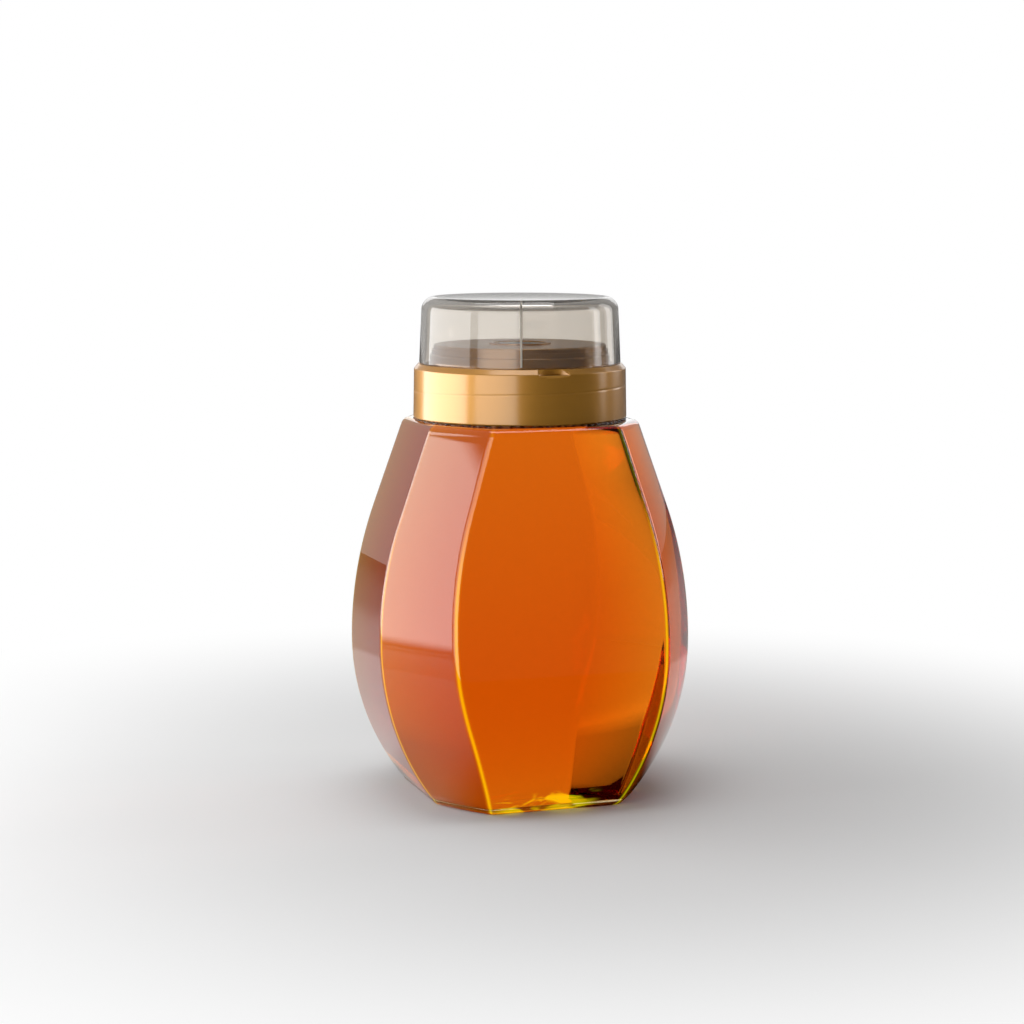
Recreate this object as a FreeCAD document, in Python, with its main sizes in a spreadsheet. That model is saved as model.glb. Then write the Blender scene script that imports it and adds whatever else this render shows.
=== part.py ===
import FreeCAD
import Part
import math
import os

import Sketcher

# Honey squeeze bottle: an eight-panelled clear bottle full of honey, with a gold
# screw closure and a smoky flip lid hinged at the back.
# +Z is up, -Y is the front, and the origin is the middle of the base.

Vector = FreeCAD.Vector
doc = FreeCAD.newDocument("honey_bottle")
X_AXIS = -1
Y_AXIS = -2
START = 1
END = 2
CENTRE = 3
FINE = 1e-4


# ---------------------------------------------------------------- sheet

SIZES = """
shoulder_height         128.6   top of the clear body, where the neck starts
wall                    1.1     thickness of the clear wall
base_thickness          1.8     thickness of the clear floor
ridge_radius            3.8     rounding between two panels
shoulder_round          3.0     rounding of the shoulder edge
base_round              3.0     rounding of the base edge
base_dish_radius        24      radius of the shallow dish under the base
base_dish_depth         2.2     depth of that dish
side_base               35.6    half width over the side panels, at the base
side_widest             55.2    the same at the widest
side_widest_height      54.5    height of that widest place
side_fullness           1.40    1 is a straight run to the shoulder, 2 is one round arc
front_base              37.4    half depth over the front and back panels, at the base
front_widest            47.9    the same at the deepest
front_widest_height     30      height of that deepest place
front_fullness          1.07    as side_fullness
front_flat_base         22.7    half width of the front panel, at the base
front_flat_widest       36.0    the same at the widest
front_flat_top          22.0    the same at the shoulder
side_flat_base          18.0    half width of a side panel, at the base
side_flat_widest        18.9    the same at the widest
side_flat_top           17.0    the same at the shoulder
corner_widest_height    50.2    height where the corner panels stand out most
corner_fullness         1.47    as side_fullness
side_ledge              0.3     how far the side panels stand out past the closure
front_ledge             2.6     how far the front panel stands out past the closure
neck_wall               1.7     thickness of the neck
bead_height             2.4     height of the carrying bead above the shoulder
bead_size               1.2     radius of the carrying bead
fill_rise               8.9     level of the honey above the shoulder
closure_gap             0.5     between the shoulder and the closure skirt
closure_radius          36.4    outside of the closure at its foot
closure_draft           0.3     how much the skirt narrows towards its top
skirt_height            16.7    height of the outer skirt, up to the bevel
skirt_wall              1.8     thickness of the outer skirt
skirt_gap               2.7     between the outer skirt and the inner, threaded one
bevel_width             1.5     width of the bevel round the top of the skirt
bevel_height            1.7     height of that bevel
edge_round              0.5     small rounding of the closure's outer edges
deck_wall               1.7     thickness of the closure over the neck's sealing rim
grip_wall               1.5     thickness of the inner skirt
grip_gap                0.8     room between the neck and the inner skirt, for the thread
grip_rise               1.7     between the carrying bead and the inner skirt's foot
seal_gap                0.15    between the neck bore and the sealing plug
seal_wall               1.2     thickness of the sealing plug
seal_height             3.5     height of the sealing plug
tier_gap                2.0     between the lid's inner face and the lowest step of the platform
tier_height             3.3     height of the lowest step
tier_step               0.6     width of each step
tier_rise               1.6     height of the upper steps
platform_wall           2.0     thickness of the platform
orifice_gap             0.5     between the valve and the hole under it
valve_radius            9.0     rim of the silicone valve
valve_rim               1.0     thickness of the valve's rim
valve_dome              5.2     radius of the valve's sunk middle
valve_sink              1.6     how far the middle is sunk
valve_draft             0.7     slope of the sunk middle's side
valve_wall              0.8     thickness of the valve's middle
valve_slit              6.4     length of each of the two crossed slits
valve_slit_width        0.12    width of a slit
valve_gap               0.1     between the valve and its seat
collar_ring             1.4     width of the raised ring round the valve
collar_ring_height      0.5     height of that ring
lid_step                0.3     how far the lid's rim stands in from the bevel's top edge
lid_taper               1.0     how much the lid narrows to its top
lid_height              22.1    height of the lid
lid_wall                1.7     thickness of the lid's wall
lid_top                 1.8     thickness of the lid's top
lid_round               4.5     rounding of the lid's top edge
lid_inner_round         3.0     the same inside
lid_gap                 0.4     between the bevel's top and the lid's rim
groove_turn             17.7    groove in the lid's wall, degrees round from the front
groove_width            0.9     width of the groove
groove_depth            0.45    depth of the groove
recess_width            15.5    width of the thumb recess in the skirt's top edge
recess_flat             10.4    width of its floor
recess_depth            1.5     how far its front edge dips
recess_reach            2.2     how far it slopes in from the skirt's face
scoop_radius            9.0     radius of the hollow behind the recess
scoop_depth             0.8     how far the hollow reaches in under the lid's rim
scoop_height            1.9     height of that hollow
hinge_inset             0.9     hinge pin in from the lid's outside
knuckle_drop            0.8     top of the knuckle below the bevel's top
knuckle_radius          1.9     knuckle round the hinge pin
knuckle_width           11.4    width of the knuckle
pin_radius              1.1     radius of the hinge pins
pin_reach               1.5     how far each pin stands out of the knuckle
pin_gap                 0.05    between a pin and its bore
hinge_gap               0.3     between the knuckle and its pocket
cheek_wall              2.8     wall on each side of the hinge pocket
hinge_floor             1.2     floor of the hinge pocket
arm_wall                0.9     thickness of the arm between the lid and its knuckle
arm_inset               0.2     how far the arm lies inside the lid's inner face
arm_root                1.2     how far the arm runs up inside the lid's wall
fine_depth              0.5     how far a cut reaches past the surface it opens
"""

DERIVED = """
closure_foot            shoulder_height + closure_gap
bevel_foot              closure_foot + skirt_height
deck_top                bevel_foot + bevel_height
bevel_foot_radius       closure_radius - closure_draft
deck_radius             bevel_foot_radius - bevel_width
lid_radius              deck_radius - lid_step
tier_radius             lid_radius - lid_wall - tier_gap
neck_height             closure_gap + skirt_height + bevel_height - deck_wall
neck_top                shoulder_height + neck_height
neck_radius             closure_radius - skirt_wall - skirt_gap - grip_wall - grip_gap
neck_bore               neck_radius - neck_wall
fill_height             shoulder_height + fill_rise
tier_top                deck_top + tier_height
platform_top            tier_top + 2 * tier_rise
platform_radius         tier_radius - 2 * tier_step
grip_inner              neck_radius + grip_gap
grip_outer              grip_inner + grip_wall
grip_height             neck_height - bead_height - bead_size / 2 - grip_rise
plug_outer              neck_bore - seal_gap
plug_inner              plug_outer - seal_wall
lid_foot                deck_top + lid_gap
lid_crown               lid_foot + lid_height
hinge_drop              knuckle_radius + knuckle_drop
hinge_height            deck_top - hinge_drop
hinge_offset            lid_radius - hinge_inset
side_top                closure_radius + side_ledge
front_top               closure_radius + front_ledge
corner_turn             atan2(front_widest - side_flat_widest; side_widest - front_flat_widest) / 1 deg
corner_sin              sin(corner_turn * 1 deg)
corner_cos              cos(corner_turn * 1 deg)
corner_widest           front_flat_widest * corner_sin + front_widest * corner_cos
corner_swing            90 - corner_turn
valve_seat              valve_radius + valve_gap
orifice_radius          valve_dome + valve_wall + orifice_gap
seat_height             platform_top - valve_rim
arm_front               lid_radius - lid_wall + arm_inset
pocket_half             knuckle_width / 2 + hinge_gap
pocket_back             hinge_offset - knuckle_radius - hinge_gap
pocket_floor            hinge_height - knuckle_radius - hinge_gap
recess_slope            (bevel_height + recess_depth) / recess_reach
recess_foot             bevel_foot - recess_depth - recess_slope * fine_depth
"""

# At the base and the top a corner panel stands midway between the panels beside it.
CORNER = """
corner_{0}_across       (side_{0} + front_flat_{0}) / 2
corner_{0}_along        (front_{0} + side_flat_{0}) / 2
corner_{0}              corner_{0}_across * corner_sin + corner_{0}_along * corner_cos
"""

# Each pair of panels has an outline of two tangent arcs and a straight run: an arc from
# the base to the widest place, an arc above it, and a straight lean up to the shoulder.
OUTLINE = """
{0}_swell               {0}_widest - {0}_base
{0}_low_arc             ({0}_widest_height ^ 2 + {0}_swell ^ 2) / (2 * {0}_swell)
{0}_rise                shoulder_height - {0}_widest_height
{0}_taper               {0}_widest - {0}_top
{0}_chord               atan({0}_taper / {0}_rise) / 1 deg
{0}_lean                {0}_fullness * {0}_chord
{0}_high_arc            ({0}_rise * tan({0}_lean * 1 deg) - {0}_taper) / (1 / cos({0}_lean * 1 deg) - 1)
"""

sheet = doc.addObject("Spreadsheet::Sheet", "sizes")
names = []


def add_row(name, content, note):
    """One line of the sheet: what it is, its value or formula, and its alias."""
    names.append(name)
    row = len(names)
    sheet.set(f"A{row}", name.replace("_", " "))
    sheet.set(f"B{row}", content)
    sheet.set(f"C{row}", note)
    sheet.setAlias(f"B{row}", name)


for line in SIZES.strip().splitlines():
    name, value, note = line.split(maxsplit=2)
    add_row(name, value, note)
rules = [DERIVED]
rules += [CORNER.format(level) for level in ("base", "top")]
rules += [OUTLINE.format(panel) for panel in ("side", "front", "corner")]
for table in rules:
    for line in table.strip().splitlines():
        name, rule = line.split(maxsplit=1)
        add_row(name, "=" + rule, "worked out")
doc.recompute()


def size(name):
    """The value of a sheet cell, for a sketch's first drawing."""
    return float(getattr(sheet, name))


def formula(text):
    """Writes sizes.NAME for every sheet name in an expression."""
    out = []
    word = ""
    for letter in text + " ":
        if letter.isalnum() or letter == "_":
            word += letter
        else:
            out.append("sizes." + word if word in names else word)
            out.append(letter)
            word = ""
    return "".join(out).strip()


def number(text):
    """The number that such an expression gives now."""
    return float(sheet.evalExpression(formula(text)))


# ---------------------------------------------------------------- sketching

def new_body(label):
    """An empty PartDesign body."""
    body = doc.addObject("PartDesign::Body", label)
    body.Label = label
    return body


def plane(body, role):
    """One of the body's own origin planes."""
    return next(f for f in body.Origin.OriginFeatures if f.Role == role)


def new_sketch(body, name, role, height=None):
    """A sketch on an origin plane, lifted off it by a sheet expression if one is given."""
    sketch = body.newObject("Sketcher::SketchObject", name)
    sketch.AttachmentSupport = [(plane(body, role), "")]
    sketch.MapMode = "FlatFace"
    if height:
        sketch.setExpression("AttachmentOffset.Base.z", formula(height))
    return sketch


def dimension(sketch, name, text, *constraint):
    """A named dimension whose value is bound to the sheet."""
    kind, *places = constraint
    value = number(text)
    if kind == "Angle":
        value = math.radians(value)
    index = sketch.addConstraint(Sketcher.Constraint(kind, *places, value))
    sketch.renameConstraint(index, name)
    bound = formula(text)
    sketch.setExpression(f"Constraints.{name}", f"({bound}) * 1 deg" if kind == "Angle" else bound)


def polyline(sketch, points):
    """A closed outline of straight edges; each point is a pair of sheet expressions.

    Every corner is dimensioned from the axes, so the outline follows the sheet.
    """
    values = [Vector(number(a), number(b), 0) for a, b in points]
    count = len(points)
    for i in range(count):
        sketch.addGeometry(Part.LineSegment(values[i], values[(i + 1) % count]), False)
    for i in range(count):
        sketch.addConstraint(Sketcher.Constraint("Coincident", i, END, (i + 1) % count, START))
    for i, (across, up) in enumerate(points):
        place(sketch, f"p{i}", i, START, across, up)


def place(sketch, name, geometry, point, across, up):
    """Puts a point of the sketch at (across, up), both sheet expressions."""
    for letter, kind, text, axis in (("x", "DistanceX", across, Y_AXIS), ("y", "DistanceY", up, X_AXIS)):
        value = number(text)
        if abs(value) < FINE:
            sketch.addConstraint(Sketcher.Constraint("PointOnObject", geometry, point, axis))
        elif value > 0:
            dimension(sketch, f"{name}{letter}", text, kind, X_AXIS, START, geometry, point)
        else:
            dimension(sketch, f"{name}{letter}", f"-({text})", kind, geometry, point, X_AXIS, START)


def revolve(body, sketch, name, kind="PartDesign::Revolution"):
    """Turns a sketch on the XZ plane round the Z axis."""
    feature = body.newObject(kind, name)
    feature.Profile = sketch
    feature.ReferenceAxis = (sketch, ["V_Axis"])
    feature.Angle = 360
    return feature


def extrude(body, sketch, name, length, kind="PartDesign::Pad", both_ways=True):
    """Pads or pockets a sketch by a sheet expression."""
    feature = body.newObject(kind, name)
    feature.Profile = sketch
    feature.setExpression("Length", formula(length))
    feature.Midplane = both_ways
    return feature


def ring(body, name, points):
    """A turned ring or disc from its cross-section, given as (radius, height) pairs."""
    sketch = new_sketch(body, f"{name}_section", "XZ_Plane")
    polyline(sketch, points)
    return revolve(body, sketch, name)


def box_sketch(body, name, role, height, low, high):
    """A rectangle between two corners, each an (across, up) pair of expressions."""
    sketch = new_sketch(body, name, role, height)
    polyline(sketch, [low, (high[0], low[1]), high, (low[0], high[1])])
    return sketch


def disc_sketch(body, name, role, height, across, up, radius):
    """A circle at (across, up)."""
    sketch = new_sketch(body, name, role, height)
    centre = Vector(number(across), number(up), 0)
    sketch.addGeometry(Part.Circle(centre, Vector(0, 0, 1), number(radius)), False)
    place(sketch, "middle", 0, CENTRE, across, up)
    dimension(sketch, "radius", radius, "Radius", 0)
    return sketch


def cut_between(body, name, first, second):
    """Cuts away what lies between two sketches."""
    loft = body.newObject("PartDesign::SubtractiveLoft", name)
    loft.Profile = first
    loft.Sections = [second]
    loft.Ruled = True
    return loft


def round_edges(body, base, name, radius, wanted):
    """A fillet of the edges of a feature that a test picks out."""
    doc.recompute()
    edges = [f"Edge{i + 1}" for i, edge in enumerate(base.Shape.Edges) if wanted(edge)]
    if not edges:
        raise RuntimeError(f"{name}: no edge to round")
    fillet = body.newObject("PartDesign::Fillet", name)
    fillet.Base = (base, edges)
    fillet.setExpression("Radius", formula(radius))
    doc.recompute()
    return fillet


def is_circle_at(edge, radius, height):
    """Whether an edge is a full circle round the Z axis, of this radius and height."""
    curve = edge.Curve
    if not hasattr(curve, "Radius"):
        return False
    level = edge.BoundBox
    flat = level.ZLength < FINE * 10
    return flat and abs(curve.Radius - radius) < FINE * 10 and abs(level.ZMin - height) < FINE * 10


# ---------------------------------------------------------------- bottle and honey

def panel_slab(panel, label, inset, bottom, top, role, turn=None):
    """The slab between two facing panels: their outline, padded across the bottle.

    inset moves the outline inwards all along itself, for the inside of the wall.
    """
    body = new_body(label)
    if turn:
        body.setExpression("Placement.Rotation.Angle", f"({formula(turn)}) * 1 deg")
    sketch = new_sketch(body, f"{label}_outline", role)
    low = number(f"{panel}_low_arc - {inset}")
    high = number(f"{panel}_high_arc - {inset}")
    widest = number(f"{panel}_widest - {inset}")
    level = size(f"{panel}_widest_height")
    lean = math.radians(size(f"{panel}_lean"))
    floor = number(bottom)
    ceiling = number(top)
    low_centre = Vector(widest - low, level, 0)
    high_centre = Vector(widest - high, level, 0)
    foot_angle = math.asin((level - floor) / low)
    foot = low_centre + Vector(low * math.cos(foot_angle), -low * math.sin(foot_angle), 0)
    bend = high_centre + Vector(high * math.cos(lean), high * math.sin(lean), 0)
    brow = Vector(bend.x - (ceiling - bend.y) * math.tan(lean), ceiling, 0)
    normal = Vector(0, 0, 1)
    sketch.addGeometry(Part.LineSegment(Vector(0, floor, 0), foot), False)
    sketch.addGeometry(Part.ArcOfCircle(Part.Circle(low_centre, normal, low), -foot_angle, 0), False)
    sketch.addGeometry(Part.ArcOfCircle(Part.Circle(high_centre, normal, high), 0, lean), False)
    sketch.addGeometry(Part.LineSegment(bend, brow), False)
    sketch.addGeometry(Part.LineSegment(brow, Vector(0, ceiling, 0)), False)
    sketch.addGeometry(Part.LineSegment(Vector(0, ceiling, 0), Vector(0, floor, 0)), False)
    base_line, low_arc, high_arc, lean_line, top_line, middle = range(6)
    for rule in (
        ("Coincident", base_line, END, low_arc, START),
        ("Tangent", low_arc, END, high_arc, START),
        ("Tangent", high_arc, END, lean_line, START),
        ("Coincident", lean_line, END, top_line, START),
        ("Coincident", top_line, END, middle, START),
        ("Coincident", middle, END, base_line, START),
        ("Horizontal", base_line),
        ("Horizontal", top_line),
        ("PointOnObject", middle, START, Y_AXIS),
        ("Horizontal", low_arc, CENTRE, low_arc, END),
    ):
        sketch.addConstraint(Sketcher.Constraint(*rule))
    place(sketch, "foot", base_line, START, "0", bottom)
    dimension(sketch, "top", top, "DistanceY", X_AXIS, START, middle, START)
    dimension(sketch, "level", f"{panel}_widest_height", "DistanceY", X_AXIS, START, low_arc, CENTRE)
    dimension(sketch, "widest", f"{panel}_widest - {inset}", "DistanceX", X_AXIS, START, low_arc, END)
    dimension(sketch, "low", f"{panel}_low_arc - {inset}", "Radius", low_arc)
    dimension(sketch, "high", f"{panel}_high_arc - {inset}", "Radius", high_arc)
    dimension(sketch, "lean", f"90 + {panel}_lean", "Angle", lean_line)
    pad = extrude(body, sketch, f"{label}_pad", "4 * side_widest")
    mirror = body.newObject("PartDesign::Mirrored", f"{label}_mirror")
    mirror.Originals = [pad]
    mirror.MirrorPlane = (sketch, ["V_Axis"])
    body.Tip = mirror
    return body


def is_level(edge, height):
    """Whether an edge lies flat at a height."""
    box = edge.BoundBox
    return box.ZLength < FINE * 10 and abs(box.ZMin - number(height)) < FINE * 10


def is_ridge(edge, shape):
    """Whether an edge runs up between two panels that meet at an angle."""
    box = edge.BoundBox
    if box.ZLength < FINE * 10:
        return False
    faces = shape.ancestorsOfType(edge, Part.Face)
    if len(faces) != 2:
        return False
    middle = edge.valueAt((edge.FirstParameter + edge.LastParameter) / 2)
    normals = [face.normalAt(*face.Surface.parameter(middle)) for face in faces]
    return normals[0].getAngle(normals[1]) > math.radians(5)


def panelled_form(name, inset, bottom, top):
    """The eight-panelled form: what four slabs share, with its ridges rounded."""
    slabs = [
        panel_slab("side", f"{name}_side", inset, bottom, top, "XZ_Plane"),
        panel_slab("front", f"{name}_front", inset, bottom, top, "YZ_Plane"),
        panel_slab("corner", f"{name}_left", inset, bottom, top, "XZ_Plane", "corner_swing"),
        panel_slab("corner", f"{name}_right", inset, bottom, top, "XZ_Plane", "-corner_swing"),
    ]
    shared = doc.addObject("Part::MultiCommon", f"{name}_shared")
    shared.Shapes = slabs
    shared.Refine = True
    doc.recompute()
    body = new_body(f"{name}_form")
    body.BaseFeature = shared
    doc.recompute()
    shape = body.Tip.Shape
    ridges = round_edges(
        body, body.Tip, f"{name}_ridges", f"ridge_radius - {inset}", lambda edge: is_ridge(edge, shape)
    )
    shoulder = round_edges(
        body, ridges, f"{name}_shoulder", f"shoulder_round - {inset}", lambda edge: is_level(edge, top)
    )
    round_edges(body, shoulder, f"{name}_foot", "base_round", lambda edge: is_level(edge, bottom))
    return body


def dish(body, name, floor):
    """Cuts the shallow dish out of the underside of a form whose floor is at this height."""
    sketch = new_sketch(body, f"{name}_arc", "XZ_Plane")
    level = number(floor)
    radius = size("base_dish_radius")
    depth = size("base_dish_depth")
    ball = (radius ** 2 + depth ** 2) / (2 * depth)
    centre = Vector(0, level + depth - ball, 0)
    half = math.asin(radius / ball)
    rim = Vector(radius, level, 0)
    crown = Vector(0, level + depth, 0)
    sketch.addGeometry(Part.LineSegment(Vector(0, level, 0), rim), False)
    circle = Part.Circle(centre, Vector(0, 0, 1), ball)
    sketch.addGeometry(Part.ArcOfCircle(circle, math.pi / 2 - half, math.pi / 2), False)
    sketch.addGeometry(Part.LineSegment(crown, Vector(0, level, 0)), False)
    sketch.addConstraint(Sketcher.Constraint("Coincident", 0, END, 1, START))
    sketch.addConstraint(Sketcher.Constraint("Coincident", 1, END, 2, START))
    sketch.addConstraint(Sketcher.Constraint("Coincident", 2, END, 0, START))
    sketch.addConstraint(Sketcher.Constraint("PointOnObject", 1, CENTRE, Y_AXIS))
    place(sketch, "middle", 0, START, "0", floor)
    place(sketch, "rim", 0, END, "base_dish_radius", floor)
    dimension(sketch, "depth", f"({floor}) + base_dish_depth", "DistanceY", X_AXIS, START, 2, START)
    return revolve(body, sketch, name, "PartDesign::Groove")


# Outside of the clear bottle: panels, dished base and the neck under the closure.
outer = panelled_form("outer", "0", "0", "shoulder_height")
dish(outer, "outer_dish", "0")
ring(outer, "neck", [
    ("0", "shoulder_height - wall"),
    ("neck_radius", "shoulder_height - wall"),
    ("neck_radius", "shoulder_height + bead_height - bead_size"),
    ("neck_radius + bead_size / 2", "shoulder_height + bead_height - bead_size / 2"),
    ("neck_radius + bead_size / 2", "shoulder_height + bead_height"),
    ("neck_radius", "shoulder_height + bead_height + bead_size / 2"),
    ("neck_radius", "neck_top"),
    ("0", "neck_top"),
])

# Inside of the wall, up through the open neck.
inner = panelled_form("inner", "wall", "base_thickness", "shoulder_height - wall")
dish(inner, "inner_dish", "base_thickness")
ring(inner, "bore", [
    ("0", "shoulder_height - 2 * wall"),
    ("neck_bore", "shoulder_height - 2 * wall"),
    ("neck_bore", "neck_top + wall"),
    ("0", "neck_top + wall"),
])

bottle = doc.addObject("Part::Cut", "bottle")
bottle.Base = outer
bottle.Tool = inner
bottle.Label = "bottle"

level_block = doc.addObject("Part::Cylinder", "level_block")
level_block.setExpression("Radius", formula("2 * side_widest"))
level_block.setExpression("Height", formula("fill_height"))
honey = doc.addObject("Part::MultiCommon", "honey")
honey.Shapes = [inner, level_block]
honey.Label = "honey"


# ---------------------------------------------------------------- closure

# Gold closure, moulded in one piece: outer skirt, bevel, stepped platform with the
# valve's seat, sealing plug and inner skirt.
closure = new_body("closure")
turned = ring(closure, "closure_turned", [
    ("closure_radius", "closure_foot"),
    ("bevel_foot_radius", "bevel_foot"),
    ("deck_radius", "deck_top"),
    ("tier_radius", "deck_top"),
    ("tier_radius", "tier_top"),
    ("tier_radius - tier_step", "tier_top"),
    ("tier_radius - tier_step", "tier_top + tier_rise"),
    ("platform_radius", "tier_top + tier_rise"),
    ("platform_radius", "platform_top"),
    ("valve_seat + collar_ring", "platform_top"),
    ("valve_seat + collar_ring", "platform_top + collar_ring_height"),
    ("valve_seat", "platform_top + collar_ring_height"),
    ("valve_seat", "seat_height"),
    ("orifice_radius", "seat_height"),
    ("orifice_radius", "platform_top - platform_wall"),
    ("plug_inner", "platform_top - platform_wall"),
    ("plug_inner", "neck_top - seal_height"),
    ("plug_outer", "neck_top - seal_height"),
    ("plug_outer", "neck_top"),
    ("grip_inner", "neck_top"),
    ("grip_inner", "neck_top - grip_height"),
    ("grip_outer", "neck_top - grip_height"),
    ("grip_outer", "neck_top"),
    ("bevel_foot_radius - skirt_wall", "neck_top"),
    ("closure_radius - skirt_wall", "closure_foot"),
])
rounded = {
    "closure_radius": "closure_foot",
    "bevel_foot_radius": "bevel_foot",
    "deck_radius": "deck_top",
    "tier_radius": "tier_top",
    "platform_radius": "platform_top",
}
round_edges(
    closure, turned, "closure_edges", "edge_round",
    lambda edge: any(is_circle_at(edge, size(radius), size(level)) for radius, level in rounded.items()),
)

# Hinge housing behind the platform: a block with an open pocket for the lid's knuckle
# and a blind bore in each cheek for its pins.
housing = box_sketch(
    closure, "housing_plan", "XY_Plane", "pocket_floor - hinge_floor",
    ("-(pocket_half + cheek_wall)", "grip_inner"),
    ("pocket_half + cheek_wall", "closure_radius - skirt_wall"),
)
extrude(closure, housing, "housing", "neck_top - pocket_floor + hinge_floor", both_ways=False)
bores = disc_sketch(
    closure, "bore_circle", "YZ_Plane", None, "hinge_offset", "hinge_height", "pin_radius + pin_gap"
)
extrude(closure, bores, "pin_bores", "2 * (pocket_half + pin_reach)", "PartDesign::Pocket")
pocket = box_sketch(
    closure, "pocket_front", "XZ_Plane", "-pocket_back",
    ("-pocket_half", "pocket_floor"), ("pocket_half", "deck_top + fine_depth"),
)
extrude(closure, pocket, "pocket", "closure_radius", "PartDesign::Pocket", both_ways=False)


# Thumb recess: the bevel dips at the front and slopes in under the lid's rim, with a
# round hollow in its middle.
def recess_section(name, reach, floor):
    """The recess's outline, wide at the top, at this distance in front of the middle."""
    sketch = new_sketch(closure, name, "XZ_Plane", reach)
    polyline(sketch, [
        ("-recess_width / 2", "deck_top + fine_depth"),
        ("-recess_flat / 2", floor),
        ("recess_flat / 2", floor),
        ("recess_width / 2", "deck_top + fine_depth"),
    ])
    return sketch


cut_between(
    closure, "thumb_recess",
    recess_section("recess_front", "closure_radius + fine_depth", "recess_foot"),
    recess_section("recess_back", "closure_radius - recess_reach", "deck_top"),
)
scoop = disc_sketch(
    closure, "scoop_circle", "XY_Plane", "deck_top + fine_depth",
    "0", "-(deck_radius - scoop_depth + scoop_radius)", "scoop_radius",
)
extrude(closure, scoop, "scoop", "scoop_height + fine_depth", "PartDesign::Pocket", both_ways=False)


# ---------------------------------------------------------------- valve

# Silicone valve: a rim on the closure's seat, a sunk middle and two crossed slits.
valve = new_body("valve")
ring(valve, "valve_turned", [
    ("0", "platform_top - valve_sink"),
    ("valve_dome - valve_draft", "platform_top - valve_sink"),
    ("valve_dome", "platform_top"),
    ("valve_radius", "platform_top"),
    ("valve_radius", "seat_height + valve_gap"),
    ("valve_dome + valve_wall", "seat_height + valve_gap"),
    ("valve_dome + valve_wall - valve_draft", "platform_top - valve_sink - valve_wall"),
    ("0", "platform_top - valve_sink - valve_wall"),
])
for name, half_width, half_depth in (
    ("slit_across", "valve_slit / 2", "valve_slit_width / 2"),
    ("slit_along", "valve_slit_width / 2", "valve_slit / 2"),
):
    slit = box_sketch(
        valve, f"{name}_plan", "XY_Plane", "platform_top",
        (f"-({half_width})", f"-({half_depth})"), (half_width, half_depth),
    )
    extrude(valve, slit, name, "2 * (valve_sink + valve_wall)", "PartDesign::Pocket", both_ways=False)


# ---------------------------------------------------------------- lid

# Smoky lid: a hollow cap with a rounded top, a groove down its front, and at the back
# an arm with a knuckle and two pins that snap into the closure's bores.
lid = new_body("lid")
cap = ring(lid, "lid_turned", [
    ("0", "lid_crown"),
    ("lid_radius - lid_taper", "lid_crown"),
    ("lid_radius", "lid_foot"),
    ("lid_radius - lid_wall", "lid_foot"),
    ("lid_radius - lid_taper - lid_wall", "lid_crown - lid_top"),
    ("0", "lid_crown - lid_top"),
])
brim = round_edges(
    lid, cap, "lid_top_edge", "lid_round",
    lambda edge: is_circle_at(edge, number("lid_radius - lid_taper"), size("lid_crown")),
)
round_edges(
    lid, brim, "lid_inner_edge", "lid_inner_round",
    lambda edge: is_circle_at(
        edge, number("lid_radius - lid_taper - lid_wall"), number("lid_crown - lid_top")
    ),
)


def groove_section(name, level, radius):
    """The groove's V at this height, where the lid's wall has this radius."""
    sketch = new_sketch(lid, name, "XY_Plane", level)
    sketch.setExpression("AttachmentOffset.Rotation.Angle", formula("-groove_turn") + " * 1 deg")
    polyline(sketch, [
        ("-groove_width", f"-({radius} + groove_depth)"),
        ("groove_width", f"-({radius} + groove_depth)"),
        ("0", f"-({radius} - groove_depth)"),
    ])
    return sketch


cut_between(
    lid, "groove",
    groove_section("groove_foot", "lid_foot", "lid_radius"),
    groove_section("groove_head", "lid_crown", "lid_radius - lid_taper"),
)
arm = box_sketch(
    lid, "arm_plan", "XY_Plane", "hinge_height",
    ("-knuckle_width / 2", "arm_front"), ("knuckle_width / 2", "arm_front + arm_wall"),
)
extrude(lid, arm, "arm", "hinge_drop + lid_gap + arm_root", both_ways=False)
knuckle = disc_sketch(
    lid, "knuckle_circle", "YZ_Plane", None, "hinge_offset", "hinge_height", "knuckle_radius"
)
extrude(lid, knuckle, "knuckle", "knuckle_width")
pins = disc_sketch(lid, "pin_circle", "YZ_Plane", None, "hinge_offset", "hinge_height", "pin_radius")
extrude(lid, pins, "pins", "knuckle_width + 2 * pin_reach")


# ---------------------------------------------------------------- parts

doc.recompute()
for item in doc.Objects:
    if "Invalid" in item.State or "Error" in item.State:
        raise RuntimeError(f"{item.Label}: {item.State}")
os.makedirs("parts", exist_ok=True)
for item in (bottle, honey, closure, valve, lid):
    shape = item.Shape
    if shape.isNull() or not shape.isValid():
        raise RuntimeError(f"{item.Label}: no sound solid")
    shape.exportStep(f"parts/{item.Label}.step")
    print(item.Label, len(shape.Solids), round(shape.Volume / 1000, 2), "ml")
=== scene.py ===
import math

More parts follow.
